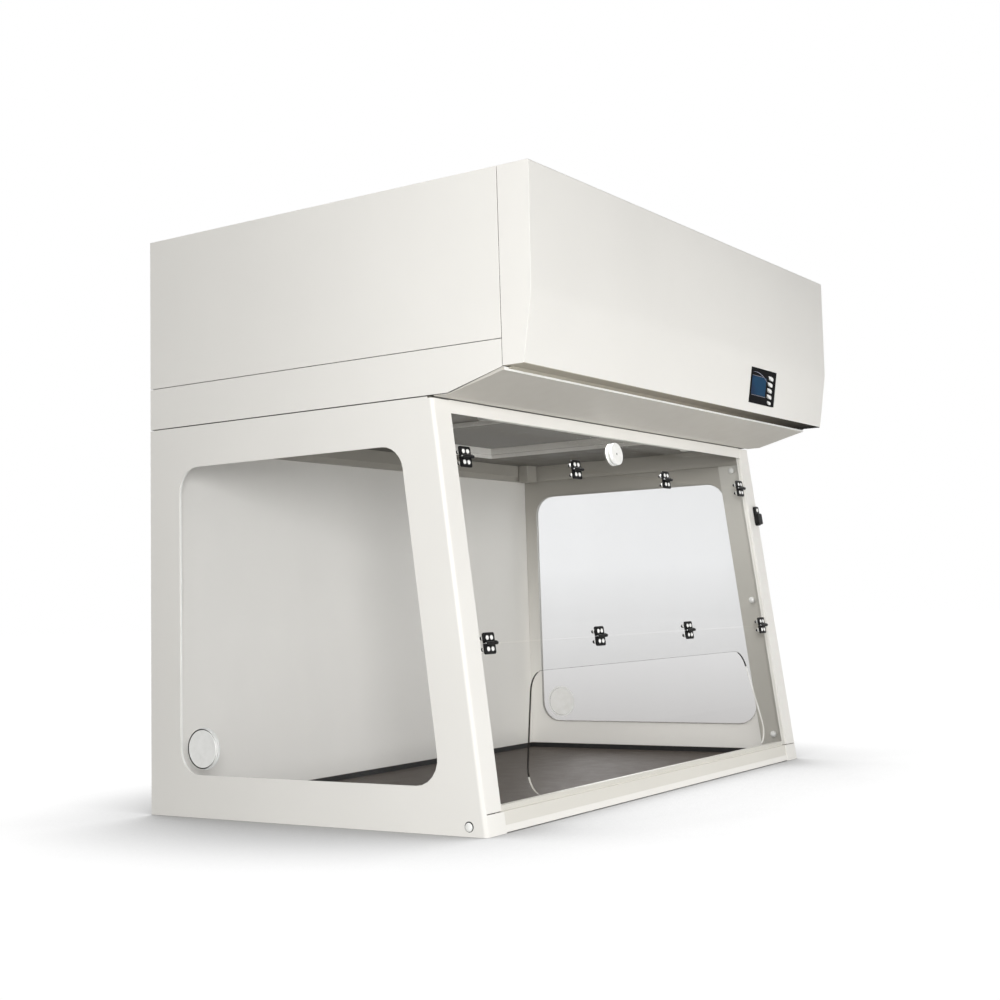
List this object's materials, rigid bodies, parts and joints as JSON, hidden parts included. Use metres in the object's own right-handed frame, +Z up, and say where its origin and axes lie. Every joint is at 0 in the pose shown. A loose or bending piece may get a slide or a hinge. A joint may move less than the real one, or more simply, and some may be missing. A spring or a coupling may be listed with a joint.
{
  "type": "ductless fume hood",
  "caption": "Bench-top fume hood with a clear bi-fold front sash on hinges, windowed side panels, dark worktop, and a filter and fan housing with a small control panel.",
  "frame": {"origin": "centre of the hood's footprint box, on the surface it stands on", "axes": "+X across the front to the user's right, +Y from the front to the back, +Z up"},
  "size_m": [1.4064, 0.964, 1.2],
  "materials": {
    "white_paint": "satin off-white powder coat",
    "shaded_paint": "satin light warm grey powder coat",
    "sill_paint": "satin cream powder coat",
    "clear_acrylic": "clear cast acrylic",
    "phenolic": "dark semi-matt phenolic",
    "black_plastic": "black moulded nylon",
    "white_plastic": "white moulded plastic",
    "black_glass": "gloss black printed panel",
    "blue_lcd": "blue display",
    "galvanised": "galvanised sheet",
    "motor_black": "black enamel",
    "filter_media": "white non-woven pad",
    "filter_case": "grey case around a carbon bed",
    "gasket_foam": "black closed-cell foam",
    "board": "green circuit board"
  },
  "bodies": {
    "cabinet": {"back_panel": "white_paint", "base_plate": "white_paint", "carbon_filter": "filter_case", "corner_cap_left": "white_plastic", "corner_cap_right": "white_plastic", "fan_plate": "galvanised", "filter_deck": "white_paint", "filter_gasket": "gasket_foam", "fixed_pane": "clear_acrylic", "front_rail": "white_paint", "front_sill": "sill_paint", "glazing_strip_left": "shaded_paint", "glazing_strip_right": "shaded_paint", "housing_back": "white_paint", "housing_side_left": "white_paint", "housing_side_right": "white_paint", "motor": "motor_black", "motor_beam": "galvanised", "power_inlet": "black_plastic", "prefilter": "filter_media", "sampling_port": "white_plastic", "side_panel_left": "white_paint", "side_panel_right": "white_paint", "side_window_left": "clear_acrylic", "side_window_right": "clear_acrylic", "top_cover": "white_paint", "underside_panel": "shaded_paint", "upper_hinge_1_top_leaf": "black_plastic", "upper_hinge_2_top_leaf": "black_plastic", "upper_hinge_3_top_leaf": "black_plastic", "upper_hinge_4_top_leaf": "black_plastic", "work_lamp": "white_plastic", "worktop": "phenolic"},
    "upper_sash": {"upper_sash_pane": "clear_acrylic", "upper_hinge_1_sash_leaf": "black_plastic", "upper_hinge_2_sash_leaf": "black_plastic", "upper_hinge_3_sash_leaf": "black_plastic", "upper_hinge_4_sash_leaf": "black_plastic", "lower_hinge_1_top_leaf": "black_plastic", "lower_hinge_2_top_leaf": "black_plastic", "lower_hinge_3_top_leaf": "black_plastic", "lower_hinge_4_top_leaf": "black_plastic"},
    "lower_sash": {"lower_sash_pane": "clear_acrylic", "lower_hinge_1_sash_leaf": "black_plastic", "lower_hinge_2_sash_leaf": "black_plastic", "lower_hinge_3_sash_leaf": "black_plastic", "lower_hinge_4_sash_leaf": "black_plastic"},
    "fascia": {"fascia_cover": "white_paint", "control_glass": "black_glass", "lcd_screen": "blue_lcd", "control_board": "board"},
    "sash_catch": {"sash_catch": "black_plastic"},
    "impeller": {"impeller": "galvanised"},
    "port_plug_left": {"port_plug_left": "clear_acrylic"},
    "port_plug_right": {"port_plug_right": "clear_acrylic"},
    "button_1": {"button_1": "white_plastic"},
    "button_2": {"button_2": "white_plastic"},
    "button_3": {"button_3": "white_plastic"},
    "button_4": {"button_4": "white_plastic"},
    "button_5": {"button_5": "white_plastic"}
  },
  "joints": [
    {"name": "upper_sash_swing", "type": "hinge", "parent": "cabinet", "child": "upper_sash", "pos_m": [0, -0.27229, 0.68462], "axis": [-1, 0, 0], "range_deg": [0, 110]},
    {"name": "lower_sash_fold", "type": "hinge", "parent": "upper_sash", "child": "lower_sash", "pos_m": [0, -0.31411, 0.33652], "axis": [-1, 0, 0], "range_deg": [0, 170]},
    {"name": "fascia_lift", "type": "hinge", "parent": "cabinet", "child": "fascia", "pos_m": [0, -0.412, 1.2], "axis": [-1, 0, 0], "range_deg": [0, 75]},
    {"name": "sash_catch_turn", "type": "hinge", "parent": "cabinet", "child": "sash_catch", "pos_m": [0.682, -0.2804, 0.62969], "axis": [0, 0.9929, -0.1193], "range_deg": [0, 90]},
    {"name": "impeller_spin", "type": "hinge", "parent": "cabinet", "child": "impeller", "pos_m": [0, 0.05, 1.03], "axis": [0, 0, 1], "continuous": true},
    {"name": "port_plug_left_pull", "type": "slide", "parent": "cabinet", "child": "port_plug_left", "axis": [-1, 0, 0], "range_m": [0, 0.03]},
    {"name": "port_plug_right_pull", "type": "slide", "parent": "cabinet", "child": "port_plug_right", "axis": [1, 0, 0], "range_m": [0, 0.03]},
    {"name": "button_1_press", "type": "slide", "parent": "fascia", "child": "button_1", "axis": [0, 0.9879, 0.1553], "range_m": [0, 0.0012], "stiffness_N_per_m": 900, "springref_m": -0.0012},
    {"name": "button_2_press", "type": "slide", "parent": "fascia", "child": "button_2", "axis": [0, 0.9879, 0.1553], "range_m": [0, 0.0012], "stiffness_N_per_m": 900, "springref_m": -0.0012},
    {"name": "button_3_press", "type": "slide", "parent": "fascia", "child": "button_3", "axis": [0, 0.9879, 0.1553], "range_m": [0, 0.0012], "stiffness_N_per_m": 900, "springref_m": -0.0012},
    {"name": "button_4_press", "type": "slide", "parent": "fascia", "child": "button_4", "axis": [0, 0.9879, 0.1553], "range_m": [0, 0.0012], "stiffness_N_per_m": 900, "springref_m": -0.0012},
    {"name": "button_5_press", "type": "slide", "parent": "fascia", "child": "button_5", "axis": [0, 0.9879, 0.1553], "range_m": [0, 0.0012], "stiffness_N_per_m": 900, "springref_m": -0.0012}
  ]
}
